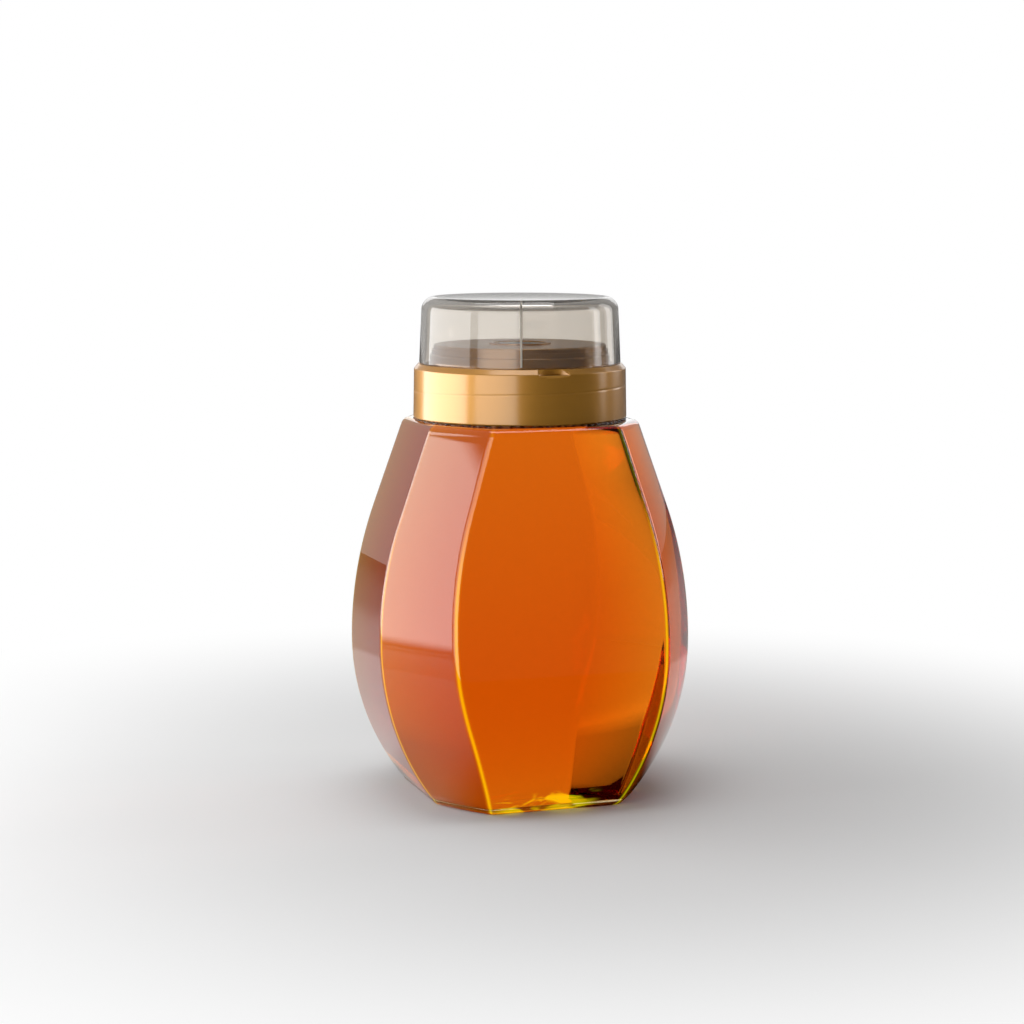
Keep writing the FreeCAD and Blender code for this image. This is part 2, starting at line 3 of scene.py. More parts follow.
import bpy
import numpy as np
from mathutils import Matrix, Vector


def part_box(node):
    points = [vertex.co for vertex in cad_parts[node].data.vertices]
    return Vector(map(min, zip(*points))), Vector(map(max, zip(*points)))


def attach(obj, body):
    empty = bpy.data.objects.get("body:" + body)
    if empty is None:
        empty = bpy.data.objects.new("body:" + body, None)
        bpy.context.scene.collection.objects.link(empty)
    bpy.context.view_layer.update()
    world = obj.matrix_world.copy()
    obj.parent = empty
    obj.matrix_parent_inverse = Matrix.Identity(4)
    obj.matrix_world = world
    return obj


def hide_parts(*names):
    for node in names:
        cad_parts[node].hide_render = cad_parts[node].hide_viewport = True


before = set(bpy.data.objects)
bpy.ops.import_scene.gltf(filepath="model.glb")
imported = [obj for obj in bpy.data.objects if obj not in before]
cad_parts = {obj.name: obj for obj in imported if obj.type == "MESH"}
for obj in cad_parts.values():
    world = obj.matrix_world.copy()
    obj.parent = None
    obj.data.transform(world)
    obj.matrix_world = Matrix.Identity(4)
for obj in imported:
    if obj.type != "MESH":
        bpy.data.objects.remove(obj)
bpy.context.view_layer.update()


# ---------------------------------------------------------------- clear bottle
# The bottle is blow moulded in clear PET with eight panels, a dished base and a short
# wide neck. It is one closed wall: outside, rim, and inside down to the floor again.

MM = 0.001
base_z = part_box("bottle")[0].z
neck_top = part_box("bottle")[1].z
shoulder = base_z + 128.6 * MM
wall = 1.1 * MM
floor_wall = 1.8 * MM
ridge_radius = 3.8 * MM
edge_radius = 3.0 * MM
dish_radius = 24.0 * MM
dish_depth = 2.2 * MM
neck_radius = 29.6 * MM
neck_bore = 27.9 * MM
crown = 0.02
ridge_points = 13
flat_points = 14

# Each pair of facing panels: half distance at the base, at its widest and at the
# shoulder, the height of the widest place, and how full the curve is above it.
side_panel = dict(base=35.6 * MM, widest=55.2 * MM, top=36.7 * MM, level=54.5 * MM, fullness=1.40)
front_panel = dict(base=37.4 * MM, widest=47.9 * MM, top=39.0 * MM, level=30.0 * MM, fullness=1.07)
front_flat = dict(base=22.7 * MM, widest=36.0 * MM, top=22.0 * MM)
side_flat = dict(base=18.0 * MM, widest=18.9 * MM, top=17.0 * MM)
corner_turn = math.atan2(
    front_panel["widest"] - side_flat["widest"], side_panel["widest"] - front_flat["widest"]
)


def corner_reach(place):
    """Half distance between two facing corner panels, through the middle of their edges."""
    if place == "widest":
        across, deep = front_flat[place], front_panel[place]
    else:
        across = (side_panel[place] + front_flat[place]) / 2
        deep = (front_panel[place] + side_flat[place]) / 2
    return across * math.sin(corner_turn) + deep * math.cos(corner_turn)


corner_panel = {place: corner_reach(place) for place in ("base", "widest", "top")}
corner_panel.update(level=50.2 * MM, fullness=1.47)
panels = (side_panel, corner_panel, front_panel, corner_panel) * 2
quarter = math.pi / 2
panel_angles = np.array([
    0, quarter - corner_turn, quarter, quarter + corner_turn,
    2 * quarter, 3 * quarter - corner_turn, 3 * quarter, 3 * quarter + corner_turn,
])


def outline(panel, height, inset):
    """Half distance of a panel at each height: an arc up to the widest place, a second
    arc above it and a straight lean to the shoulder; inset moves it inwards squarely."""
    rise = shoulder - panel["level"]
    swell = panel["widest"] - panel["base"]
    low_arc = (panel["level"] ** 2 + swell ** 2) / (2 * swell)
    lean = panel["fullness"] * math.atan((panel["widest"] - panel["top"]) / rise)
    high_arc = (rise * math.tan(lean) - panel["widest"] + panel["top"]) / (1 / math.cos(lean) - 1)
    above = height - panel["level"]
    arc = np.where(above < 0, low_arc, high_arc)
    turned = np.clip(np.abs(above) / arc, 0, math.sin(1.4))
    curved = panel["widest"] - arc * (1 - np.sqrt(1 - turned ** 2))
    slope = np.sign(above) * turned / np.sqrt(1 - turned ** 2)
    straight = above > high_arc * math.sin(lean)
    half = np.where(straight, panel["top"] + (shoulder - height) * math.tan(lean), curved)
    slope = np.where(straight, math.tan(lean), slope)
    return half - inset * np.sqrt(1 + slope ** 2)


def reach(panel, height, inset, floor, ceiling, rounding):
    """The outline with its base and shoulder edges rounded by a ball of this radius."""
    half = outline(panel, height, inset)
    for level, side in ((floor, -1), (ceiling, 1)):
        centre_height = level - side * rounding
        centre = outline(panel, np.array(centre_height), inset + rounding)
        beyond = np.clip(side * (height - centre_height) / rounding, 0, 1)
        ball = centre + rounding * np.sqrt(1 - beyond ** 2)
        half = np.where((beyond > 0) & (ball < half), ball, half)
    return half


def octagon_rings(height, inset, floor, ceiling, rounding):
    """Rings of the panelled body, one row a height: at each meeting of two panels an arc
    round the point that lies the ridge's radius inside both, then steps along the panel
    to the next arc. The corner panels swell out in a parabola, by crown times their width."""
    reaches = np.array([reach(panel, height, inset, floor, ceiling, rounding) for panel in panels])
    full = np.array([outline(panel, height, inset) for panel in panels])
    radius = np.clip((ridge_radius - inset) - (full - reaches).max(axis=0), 0.6 * MM, None)
    next_angles = np.append(panel_angles[1:], panel_angles[0] + 2 * math.pi)
    inner = reaches - radius
    following = np.roll(inner, -1, axis=0)
    turn = (next_angles - panel_angles)[:, None]
    along = (following - inner * np.cos(turn)) / np.sin(turn)
    a = panel_angles[:, None]
    corner_x = inner * np.cos(a) - along * np.sin(a)
    corner_y = inner * np.sin(a) + along * np.cos(a)
    sweep = np.linspace(0, 1, ridge_points)
    angles = a + (next_angles - panel_angles)[:, None] * sweep
    arc_x = corner_x.T[:, :, None] + radius[:, None, None] * np.cos(angles)
    arc_y = corner_y.T[:, :, None] + radius[:, None, None] * np.sin(angles)
    step = (1 - np.cos(np.linspace(0, math.pi, flat_points + 2)))[1:-1] / 2
    run_x = np.roll(arc_x[:, :, 0], -1, axis=1)[:, :, None] - arc_x[:, :, -1:]
    run_y = np.roll(arc_y[:, :, 0], -1, axis=1)[:, :, None] - arc_y[:, :, -1:]
    swell = 4 * crown * step * (1 - step) * np.array([1, 0] * 4)[None, :, None]
    flat_x = arc_x[:, :, -1:] + run_x * step + run_y * swell
    flat_y = arc_y[:, :, -1:] + run_y * step - run_x * swell
    rows = len(height)
    x = np.concatenate([arc_x, flat_x], axis=2).reshape(rows, -1)
    y = np.concatenate([arc_y, flat_y], axis=2).reshape(rows, -1)
    z = np.broadcast_to(height[:, None], x.shape)
    return np.stack([x, y, z], axis=2)


def circle_rings(radius, height, like):
    """Round rings whose points lie in the same directions as the points of a ring."""
    bearing = np.arctan2(like[:, 1], like[:, 0])
    x = radius[:, None] * np.cos(bearing)
    y = radius[:, None] * np.sin(bearing)
    z = np.broadcast_to(height[:, None], x.shape)
    return np.stack([x, y, z], axis=2)


def between(first, last, count):
    """Rings spaced evenly between two rings, without the two themselves."""
    share = np.linspace(0, 1, count + 2)[1:-1, None, None]
    return first + (last - first) * share


def body_heights(floor, ceiling, rounding):
    """Heights from floor to ceiling, close together where an edge is rounded."""
    bend = rounding * (1 - np.cos(np.linspace(0, math.pi / 2, 12)))
    middle = np.linspace(floor + rounding, ceiling - rounding, 72)
    return np.concatenate([floor + bend[:-1], middle, (ceiling - bend[:-1])[::-1]])


def dish_rings(floor, like):
    """The shallow dish in the base: its height falls with the square of the radius."""
    share = np.linspace(0.06, 1, 14)
    return circle_rings(dish_radius * share, floor + dish_depth * (1 - share ** 2), like)


def grid_mesh(name, rings, smooth_angle, slots=None, ridge=None):
    """A closed surface from rings one after another; the first and last are closed with
    a fan round a point in their middle. slots gives the material of the band that
    starts at each ring, and ridge a value for each column, stored on the points."""
    rows, columns, _ = rings.shape
    points = np.concatenate([rings.reshape(-1, 3), [rings[0].mean(axis=0)], [rings[-1].mean(axis=0)]])
    row, column = np.meshgrid(np.arange(rows - 1), np.arange(columns), indexing="ij")
    start = row * columns + column
    side = row * columns + (column + 1) % columns
    quads = np.stack([start, side, side + columns, start + columns], axis=-1).reshape(-1, 4)
    around = np.arange(columns)
    beside = (around + 1) % columns
    first = np.stack([np.full(columns, rows * columns), beside, around], axis=1)
    last = (rows - 1) * columns
    end = np.stack([np.full(columns, rows * columns + 1), last + around, last + beside], axis=1)
    mesh = bpy.data.meshes.new(name)
    mesh.from_pydata(points.tolist(), [], quads.tolist() + first.tolist() + end.tolist())
    mesh.polygons.foreach_set("use_smooth", np.ones(len(mesh.polygons), bool))
    mesh.set_sharp_from_angle(angle=math.radians(smooth_angle))
    if slots is not None:
        bands = np.repeat(slots[:-1], columns)
        ends = np.repeat([slots[0], slots[-1]], columns)
        mesh.polygons.foreach_set("material_index", np.concatenate([bands, ends]))
    if ridge is not None:
        mark = mesh.attributes.new("ridge", "FLOAT", "POINT")
        mark.data.foreach_set("value", np.append(np.tile(ridge, rows), [0.0, 0.0]))
    piece = bpy.data.objects.new(name, mesh)
    bpy.context.scene.collection.objects.link(piece)
    return piece


def linear(code):
    """An sRGB hex colour as linear red, green, blue and alpha."""
    values = np.array([int(code[i:i + 2], 16) for i in (1, 3, 5)]) / 255
    curve = np.where(values <= 0.04045, values / 12.92, ((values + 0.055) / 1.055) ** 2.4)
    return (*curve, 1.0)


def add_node(tree, kind, links=None, **settings):
    """Adds a node: settings name its properties or its sockets, and links say which
    output feeds which of its sockets."""
    node = tree.nodes.new(kind)
    for name, value in settings.items():
        if name in node.inputs:
            node.inputs[name].default_value = value
        elif name.replace("_", " ") in node.inputs:
            node.inputs[name.replace("_", " ")].default_value = value
        else:
            setattr(node, name, value)
    for socket, output in (links or {}).items():
        tree.links.new(output, node.inputs[socket])
    return node


def new_material(name):
    """An empty node material with its output: returns the material, its tree and output."""
    material = bpy.data.materials.new(name)
    material.use_nodes = True
    material.node_tree.nodes.clear()
    output = material.node_tree.nodes.new("ShaderNodeOutputMaterial")
    return material, material.node_tree, output


def body_rings(inset, floor, ceiling, rounding):
    """Rings from the middle of the dished floor out and up to the shoulder."""
    upright = octagon_rings(body_heights(floor, ceiling, rounding), inset, floor, ceiling, rounding)
    dish = dish_rings(floor, upright[0])
    return np.concatenate([dish, between(dish[-1], upright[0], 3), upright])


def neck_rings(radius, height, like):
    """Upright rings of the neck at each height."""
    return circle_rings(np.full(len(height), radius), height, like)


outside = body_rings(0.0, base_z, shoulder, edge_radius)
inside = body_rings(wall, base_z + floor_wall, shoulder - wall, edge_radius - wall)
neck_heights = np.linspace(shoulder, neck_top, 12)
outer_neck = neck_rings(neck_radius, neck_heights, outside[-1])
inner_neck = neck_rings(neck_bore, neck_heights[::-1] - wall * (np.linspace(0, 1, 12)), inside[-1])
bottle_rings = np.concatenate([
    outside, between(outside[-1], outer_neck[0], 3), outer_neck,
    inner_neck, between(inner_neck[-1], inside[-1], 3), inside[::-1],
])
fill_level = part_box("honey")[1].z
ring_heights = bottle_rings[:, :, 2].mean(axis=1)
inner_start = len(outside) + 3 + len(outer_neck)
wetted = (np.arange(len(bottle_rings)) >= inner_start) & (ring_heights < fill_level + 0.1 * MM)
bottle_wall = grid_mesh("bottle_wall", bottle_rings, 50, wetted.astype(int))

# Blow-moulded PET: water-clear, with the high gloss of a polished mould.
pet, tree, output = new_material("clear_PET_blow_moulded")
shader = add_node(
    tree, "ShaderNodeBsdfPrincipled",
    Base_Color=linear("#FFFFFF"), Roughness=0.0, IOR=1.29, Transmission_Weight=1.0,
    Coat_Weight=1.0, Coat_Roughness=0.0, Coat_IOR=1.5,
)
tree.links.new(shader.outputs["BSDF"], output.inputs["Surface"])
bottle_wall.data.materials.append(pet)

# Where honey wets the PET the two bend light almost alike, so this face all but vanishes.
wetted_pet, tree, output = new_material("clear_PET_wetted_by_honey")
shader = add_node(
    tree, "ShaderNodeBsdfPrincipled",
    Base_Color=linear("#FFFFFF"), Roughness=0.0, IOR=1.001, Transmission_Weight=1.0,
)
tree.links.new(shader.outputs["BSDF"], output.inputs["Surface"])
bottle_wall.data.materials.append(wetted_pet)
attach(bottle_wall, "bottle")
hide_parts("bottle")


# ---------------------------------------------------------------- honey
# Clear amber honey that fills the bottle up into the neck. It reaches a little way
# into the bottle's wall, so that no air shows between the two.

sunk = 0.6 * MM
honey_body = body_rings(sunk, base_z + floor_wall - 0.9 * MM, shoulder - sunk, edge_radius - sunk)
honey_neck = neck_rings(neck_bore + 0.5 * MM, np.linspace(shoulder - sunk, fill_level, 6), honey_body[-1])
honey_rings = np.concatenate([honey_body, between(honey_body[-1], honey_neck[0], 3), honey_neck])
# Painted light: how strongly each column of the honey's surface glows across a ridge.
line_share = 0.17
across_ridge = (np.linspace(0, 1, ridge_points) - 0.5) / line_share
painted_ridge_glow = np.tile(np.append(np.exp(-across_ridge ** 2), np.zeros(flat_points)), len(panels))
honey = grid_mesh("honey_fill", honey_rings, 50, ridge=painted_ridge_glow)

# Honey is a thick clear liquid: it swallows blue first, then green, so that its thin
# places are yellow and the middle is deep orange.
amber, tree, output = new_material("honey_clear_amber")
depth = add_node(tree, "ShaderNodeVolumeAbsorption", Color=linear("#F9D400"), Density=72.0)

# Painted light: the honey's outward side gives off a faint yellow glow along the ridges, most
# of all below the widest place, and in wavy flecks at the front foot, in place of gathered light.
# Painted light: where the wavy flecks of glow lie at the front foot, and how they are shaped.
fleck_glow_top = 8.5 * MM
fleck_glow_full = 5.5 * MM
fleck_glow_middle = -4.0 * MM
fleck_glow_half = 20.0 * MM
fleck_glow_front = -30.0 * MM
fleck_glow_flatness = 2.6
spot = add_node(tree, "ShaderNodeTexCoord")
parts = add_node(tree, "ShaderNodeSeparateXYZ", {0: spot.outputs["Object"]})
mark = add_node(tree, "ShaderNodeAttribute", attribute_name="ridge")
low = add_node(
    tree, "ShaderNodeMapRange", {"Value": parts.outputs["Z"]}, interpolation_type="SMOOTHSTEP",
    From_Min=108 * MM, From_Max=70 * MM, To_Min=0.22, To_Max=1.0,
)
painted_ridge_lines = add_node(
    tree, "ShaderNodeMath", {0: mark.outputs["Fac"], 1: low.outputs["Result"]}, operation="MULTIPLY"
)
squashed = add_node(tree, "ShaderNodeVectorMath", {0: spot.outputs["Object"]}, operation="MULTIPLY")
squashed.inputs[1].default_value = (1.0, 1.0, fleck_glow_flatness)
waves = add_node(
    tree, "ShaderNodeTexNoise", {"Vector": squashed.outputs[0]},
    Scale=75.0, Detail=2.5, Distortion=1.2,
)
painted_flecks = add_node(
    tree, "ShaderNodeMapRange", {"Value": waves.outputs["Fac"]}, interpolation_type="SMOOTHSTEP",
    From_Min=0.44, From_Max=0.60,
)
foot = add_node(
    tree, "ShaderNodeMapRange", {"Value": parts.outputs["Z"]}, interpolation_type="SMOOTHSTEP",
    From_Min=fleck_glow_top, From_Max=fleck_glow_full,
)
sideways = add_node(tree, "ShaderNodeMath", {0: parts.outputs["X"]}, operation="ADD")
sideways.inputs[1].default_value = -fleck_glow_middle
middle = add_node(tree, "ShaderNodeMath", {0: sideways.outputs[0]}, operation="ABSOLUTE")
inner_run = add_node(
    tree, "ShaderNodeMapRange", {"Value": middle.outputs[0]}, interpolation_type="SMOOTHSTEP",
    From_Min=fleck_glow_half, From_Max=0.6 * fleck_glow_half,
)
front_side = add_node(tree, "ShaderNodeMath", {0: parts.outputs["Y"]}, operation="LESS_THAN")
front_side.inputs[1].default_value = fleck_glow_front
painted_fleck_glow = painted_flecks.outputs["Result"]
for part in (foot.outputs["Result"], inner_run.outputs["Result"], front_side.outputs[0]):
    painted_fleck_glow = add_node(tree, "ShaderNodeMath", {0: painted_fleck_glow, 1: part}, operation="MULTIPLY").outputs[0]
painted_glow = add_node(tree, "ShaderNodeMath", {0: painted_ridge_lines.outputs[0], 1: painted_fleck_glow}, operation="MAXIMUM")
side = add_node(tree, "ShaderNodeNewGeometry")
glow = add_node(
    tree, "ShaderNodeMapRange",
    {"Value": side.outputs["Backfacing"], "To Min": painted_glow.outputs[0]}, To_Max=0.0,
)
shader = add_node(
    tree, "ShaderNodeBsdfPrincipled", {"Emission Strength": glow.outputs["Result"]},
    Base_Color=linear("#FFFFFF"), Roughness=0.0, IOR=1.001, Transmission_Weight=1.0,
    Emission_Color=linear("#B8AD00"), Emission_Strength=0.0,
)
tree.links.new(shader.outputs["BSDF"], output.inputs["Surface"])
tree.links.new(depth.outputs["Volume"], output.inputs["Volume"])
honey.data.materials.append(amber)
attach(honey, "bottle")
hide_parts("honey")


# ---------------------------------------------------------------- painted shade under the closure
# A dark uneven line of painted shade lies in the gap between the closure's foot and the
# shoulder, where shade and dark reflections fall under the closure.

shade_line_height = shoulder + 0.2 * MM
shade_line_radius = 36.0 * MM
shade_line_half = 0.31 * MM
shade_line_wander = 0.12 * MM
shade_line_rise = 0.13 * MM
shade_line_swell = 0.3
shade_line_waves = 14


def shade_line_ring(count=720, around=8):
    """A closed tube round the upright axis whose radius, height and thickness wander as
    sums of sine waves of whole numbers of turns."""
    angle = np.linspace(0, 2 * math.pi, count, endpoint=False)
    chance = np.random.default_rng(5)
    waves = []
    for _ in range(3):
        turns = chance.integers(5, 90, shade_line_waves)
        start = chance.uniform(0, 2 * math.pi, shade_line_waves)
        total = np.sin(turns[:, None] * angle + start[:, None]).sum(axis=0)
        waves.append(total / shade_line_waves ** 0.5)
    radius = shade_line_radius + shade_line_wander * waves[0]
    height = shade_line_height + shade_line_rise * waves[1]
    half = shade_line_half * np.clip(1 + shade_line_swell * waves[2], 0.3, 1.7)
    side = np.linspace(0, 2 * math.pi, around, endpoint=False)
    out = radius[:, None] + half[:, None] * np.cos(side)
    up = height[:, None] + half[:, None] * np.sin(side)
    return np.stack([out * np.cos(angle)[:, None], out * np.sin(angle)[:, None], up], axis=2)


# Painted shade: a dark tube laid in the gap between the closure's foot and the shoulder.
tube = shade_line_ring()
grid = np.arange(tube.shape[0] * tube.shape[1]).reshape(tube.shape[:2])
onward = np.roll(grid, -1, axis=0)
faces = np.stack([grid, onward, np.roll(onward, -1, axis=1), np.roll(grid, -1, axis=1)], axis=-1)
mesh = bpy.data.meshes.new("painted_gap_shade_line")
mesh.from_pydata(tube.reshape(-1, 3).tolist(), [], faces.reshape(-1, 4).tolist())
mesh.polygons.foreach_set("use_smooth", np.ones(len(mesh.polygons), bool))
shade_line = bpy.data.objects.new("painted_gap_shade_line", mesh)
bpy.context.scene.collection.objects.link(shade_line)

# Painted shade: nearly black and glossy, with paler specks a millimetre or so apart.
shade_line_material, tree, output = new_material("painted_gap_shade_dark")
spot = add_node(tree, "ShaderNodeTexCoord")
grain = add_node(tree, "ShaderNodeTexNoise", {"Vector": spot.outputs["Object"]}, Scale=700.0, Detail=3.0)
ramp = add_node(tree, "ShaderNodeValToRGB", {"Fac": grain.outputs["Fac"]})
for stop, place, tone in zip(ramp.color_ramp.elements, (0.42, 0.72), ("#2E0E03", "#A8672E")):
    stop.position = place
    stop.color = linear(tone)
shader = add_node(
    tree, "ShaderNodeBsdfPrincipled", {"Base Color": ramp.outputs["Color"]}, Roughness=0.25, IOR=1.49
)
tree.links.new(shader.outputs["BSDF"], output.inputs["Surface"])
shade_line.data.materials.append(shade_line_material)
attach(shade_line, "bottle")


# ---------------------------------------------------------------- gold closure
# The closure is one moulding in polypropylene with a gold metallic pigment: a skirt, a
# bevel with a thumb recess, and the stepped platform that holds the valve and the hinge.

sink_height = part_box("closure")[0].z + 10.4 * MM
sink_half = 0.6 * MM
sink_depth = 0.05 * MM
thread_pitch = 4.7 * MM

# The pigment gives a satin metal look under a clear skin, as the plastic closes over it.
gold, tree, output = new_material("gold_pigmented_polypropylene_moulded")

# A shallow sink line winds round the skirt where the inner thread starts.
spot = add_node(tree, "ShaderNodeTexCoord")
parts = add_node(tree, "ShaderNodeSeparateXYZ", {0: spot.outputs["Object"]})
inward = add_node(tree, "ShaderNodeMath", {0: parts.outputs["Y"]}, operation="MULTIPLY")
inward.inputs[1].default_value = -1.0
turn = add_node(
    tree, "ShaderNodeMath", {0: parts.outputs["X"], 1: inward.outputs[0]}, operation="ARCTAN2"
)
climb = add_node(tree, "ShaderNodeMath", {0: turn.outputs[0]}, operation="MULTIPLY_ADD")
climb.inputs[1].default_value = -thread_pitch / (2 * math.pi)
climb.inputs[2].default_value = -sink_height
offset = add_node(tree, "ShaderNodeMath", {0: parts.outputs["Z"], 1: climb.outputs[0]}, operation="ADD")
near = add_node(tree, "ShaderNodeMath", {0: offset.outputs[0]}, operation="ABSOLUTE")
dent = add_node(
    tree, "ShaderNodeMapRange", {"Value": near.outputs[0]}, interpolation_type="SMOOTHSTEP",
    From_Min=0.0, From_Max=sink_half,
)
sink = add_node(
    tree, "ShaderNodeBump", {"Height": dent.outputs["Result"]}, Distance=sink_depth, Strength=1.0
)
shader = add_node(
    tree, "ShaderNodeBsdfPrincipled", {"Normal": sink.outputs[0], "Coat Normal": sink.outputs[0]},
    Base_Color=linear("#CE9030"), Metallic=0.5, Roughness=0.42,
    Coat_Weight=1.0, Coat_Roughness=0.18, Coat_IOR=1.75,
)
tree.links.new(shader.outputs["BSDF"], output.inputs["Surface"])
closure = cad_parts["closure"]
closure.data.materials.clear()
closure.data.materials.append(gold)


# ---------------------------------------------------------------- silicone valve
# A thin disc with two crossed slits, pressed into its seat in the platform. It opens when
# the bottle is squeezed.

# Moulded silicone is milky and dull, and lets a little light through.
silicone, tree, output = new_material("silicone_moulded")
shader = add_node(
    tree, "ShaderNodeBsdfPrincipled",
    Base_Color=linear("#D9D8D2"), Roughness=0.5, Transmission_Weight=0.3,
)
tree.links.new(shader.outputs["BSDF"], output.inputs["Surface"])
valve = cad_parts["valve"]
valve.data.materials.clear()
valve.data.materials.append(silicone)


# ---------------------------------------------------------------- smoky lid
# The lid is one moulding in smoky see-through polypropylene. Two pins on its knuckle snap
# into the closure's cheeks.

# The polished mould gives a clear gloss, and the smoke takes a little light, blue most.
smoke, tree, output = new_material("smoky_polypropylene_moulded")
shader = add_node(
    tree, "ShaderNodeBsdfPrincipled",
    Base_Color=linear("#EEE9E2"), Roughness=0.03, IOR=1.49, Transmission_Weight=0.95,
)
tree.links.new(shader.outputs["BSDF"], output.inputs["Surface"])
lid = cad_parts["lid"]
lid.data.materials.clear()
lid.data.materials.append(smoke)


# ---------------------------------------------------------------- lid flow line
# The groove down the lid's front holds a pale line, where the plastic met itself in the
# mould: a small flat oval swept up the wall and over the rounded edge, just below the skin.

lid_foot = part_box("closure")[0].z + 18.8 * MM
lid_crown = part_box("lid")[1].z
lid_radius = 34.3 * MM
lid_round = 4.5 * MM
lean = 1.0 / 22.1
line_bearing = math.radians(-107.7)
line_depth = 0.2 * MM
line_start = 0.3 * MM
line_half_width = 0.32 * MM
line_half_depth = 0.16 * MM
line_end = math.radians(84)


def swept_line(wall_rings=40, bend_rings=24, around_points=10):
    """Rings of an oval along a path in one upright plane: a straight leaning wall, then
    an arc of the edge's radius that ends on top."""
    bend = np.linspace(math.atan(lean), line_end, bend_rings)
    centre = lid_crown - lid_round
    wall_top = centre + lid_round * math.sin(bend[0])
    rise = np.linspace(lid_foot + line_start, wall_top, wall_rings)[:-1]
    middle = lid_radius - lean * (centre - lid_foot) - lid_round * math.sqrt(1 + lean ** 2)
    wall_radius = lid_radius - lean * (rise - lid_foot)
    radius = np.concatenate([wall_radius, middle + lid_round * np.cos(bend)])
    height = np.concatenate([rise, centre + lid_round * np.sin(bend)])
    facing = np.concatenate([np.full(len(rise), bend[0]), bend])
    outward = np.array([math.cos(line_bearing), math.sin(line_bearing), 0.0])
    sideways = np.array([-math.sin(line_bearing), math.cos(line_bearing), 0.0])
    up = np.array([0.0, 0.0, 1.0])
    normal = np.cos(facing)[:, None] * outward + np.sin(facing)[:, None] * up
    spine = radius[:, None] * outward + height[:, None] * up - line_depth * normal
    around = np.linspace(0, 2 * math.pi, around_points, endpoint=False)[None, :, None]
    across = line_half_width * np.cos(around) * sideways
    return spine[:, None, :] + across - line_half_depth * np.sin(around) * normal[:, None, :]


flow_line = grid_mesh("lid_flow_line", swept_line(), 60)

# The same plastic, a little whiter and duller where the two streams joined.
pale, tree, output = new_material("polypropylene_flow_line")
shader = add_node(
    tree, "ShaderNodeBsdfPrincipled",
    Base_Color=linear("#F1EADB"), Roughness=0.35, IOR=1.49, Transmission_Weight=0.5,
)
tree.links.new(shader.outputs["BSDF"], output.inputs["Surface"])
flow_line.data.materials.append(pale)
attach(flow_line, "lid")


# ---------------------------------------------------------------- studio
# A pale table in a white studio: a large glowing cloth at the left, a lamp at the front
# left, two narrow ones at the right, one far behind and one overhead. The camera stands
# a little above the lid and to the left of the front.

def sheet(name, corners, material):
    """A flat card between four corners."""
    mesh = bpy.data.meshes.new(name)
    mesh.from_pydata(corners, [], [(0, 1, 2, 3)])
    card = bpy.data.objects.new(name, mesh)
    bpy.context.scene.collection.objects.link(card)
    card.data.materials.append(material)
    return card


# Seen through the honey, the backdrop is white behind the bottle and falls away to a dim
# warm room at the sides, so that panels which bend light far sideways look deeper. On the
# camera's side it is pale again.
backdrop_bearing = math.radians(86)
backdrop_tones = (
    (0.0, "#F9F9F9"), (0.14, "#F9F9F9"), (0.30, "#EDA28C"),
    (0.60, "#BF9589"), (0.82, "#C8C1B8"), (0.95, "#FFFFFF"),
)
left_loss = 0.55


def add_backdrop(tree, direction, far):
    """The light that arrives from a direction, given as a vector socket: a colour, and a
    strength that about halves at the back left, as far as the socket far says."""
    level = add_node(tree, "ShaderNodeVectorMath", {0: direction}, operation="MULTIPLY")
    level.inputs[1].default_value = (1, 1, 0)
    flat = add_node(tree, "ShaderNodeVectorMath", {0: level.outputs[0]}, operation="NORMALIZE")
    toward = add_node(tree, "ShaderNodeVectorMath", {0: flat.outputs[0]}, operation="DOT_PRODUCT")
    toward.inputs[1].default_value = (math.cos(backdrop_bearing), math.sin(backdrop_bearing), 0)
    ramp = add_node(tree, "ShaderNodeValToRGB", {"Fac": toward.outputs["Value"]})
    stops = ramp.color_ramp.elements
    for count, (place, tone) in enumerate(backdrop_tones):
        stop = stops[count] if count < 2 else stops.new(place)
        stop.position = place
        stop.color = linear(tone)
    leftward = add_node(tree, "ShaderNodeSeparateXYZ", {0: flat.outputs[0]})
    shade = add_node(
        tree, "ShaderNodeMapRange", {"Value": leftward.outputs["X"]},
        interpolation_type="SMOOTHSTEP", From_Min=0.12, From_Max=-0.10, To_Max=left_loss,
    )
    behind = add_node(
        tree, "ShaderNodeMapRange", {"Value": toward.outputs["Value"]}, From_Min=0.1, From_Max=0.4
    )
    loss = far
    for part in (shade.outputs["Result"], behind.outputs["Result"]):
        loss = add_node(tree, "ShaderNodeMath", {0: loss, 1: part}, operation="MULTIPLY").outputs[0]
    strength = add_node(tree, "ShaderNodeMath", {1: loss}, operation="SUBTRACT")
    strength.inputs[0].default_value = 1.0
    return ramp.outputs["Color"], strength.outputs[0]


def add_straight(tree, path):
    """Whether a ray came through the clear pieces without a bounce on its way."""
    bounced = add_node(
        tree, "ShaderNodeMath",
        {0: path.outputs["Diffuse Depth"], 1: path.outputs["Glossy Depth"]}, operation="ADD",
    )
    straight = add_node(tree, "ShaderNodeMath", {0: bounced.outputs[0]}, operation="LESS_THAN")
    straight.inputs[1].default_value = 0.5
    return add_node(
        tree, "ShaderNodeMath",
        {0: path.outputs["Is Transmission Ray"], 1: straight.outputs[0]}, operation="MULTIPLY",
    ).outputs[0]


def add_room(tree, direction):
    """How bright reflections find the room: under half lit at the back left, and nearly
    dark in front and at the right."""
    toward = add_node(tree, "ShaderNodeVectorMath", {0: direction}, operation="DOT_PRODUCT")
    toward.inputs[1].default_value = (0.45, -0.89, 0.0)
    return add_node(
        tree, "ShaderNodeMapRange", {"Value": toward.outputs["Value"]},
        interpolation_type="SMOOTHSTEP", From_Min=-0.95, From_Max=0.6, To_Min=0.4, To_Max=0.04,
    ).outputs["Result"]
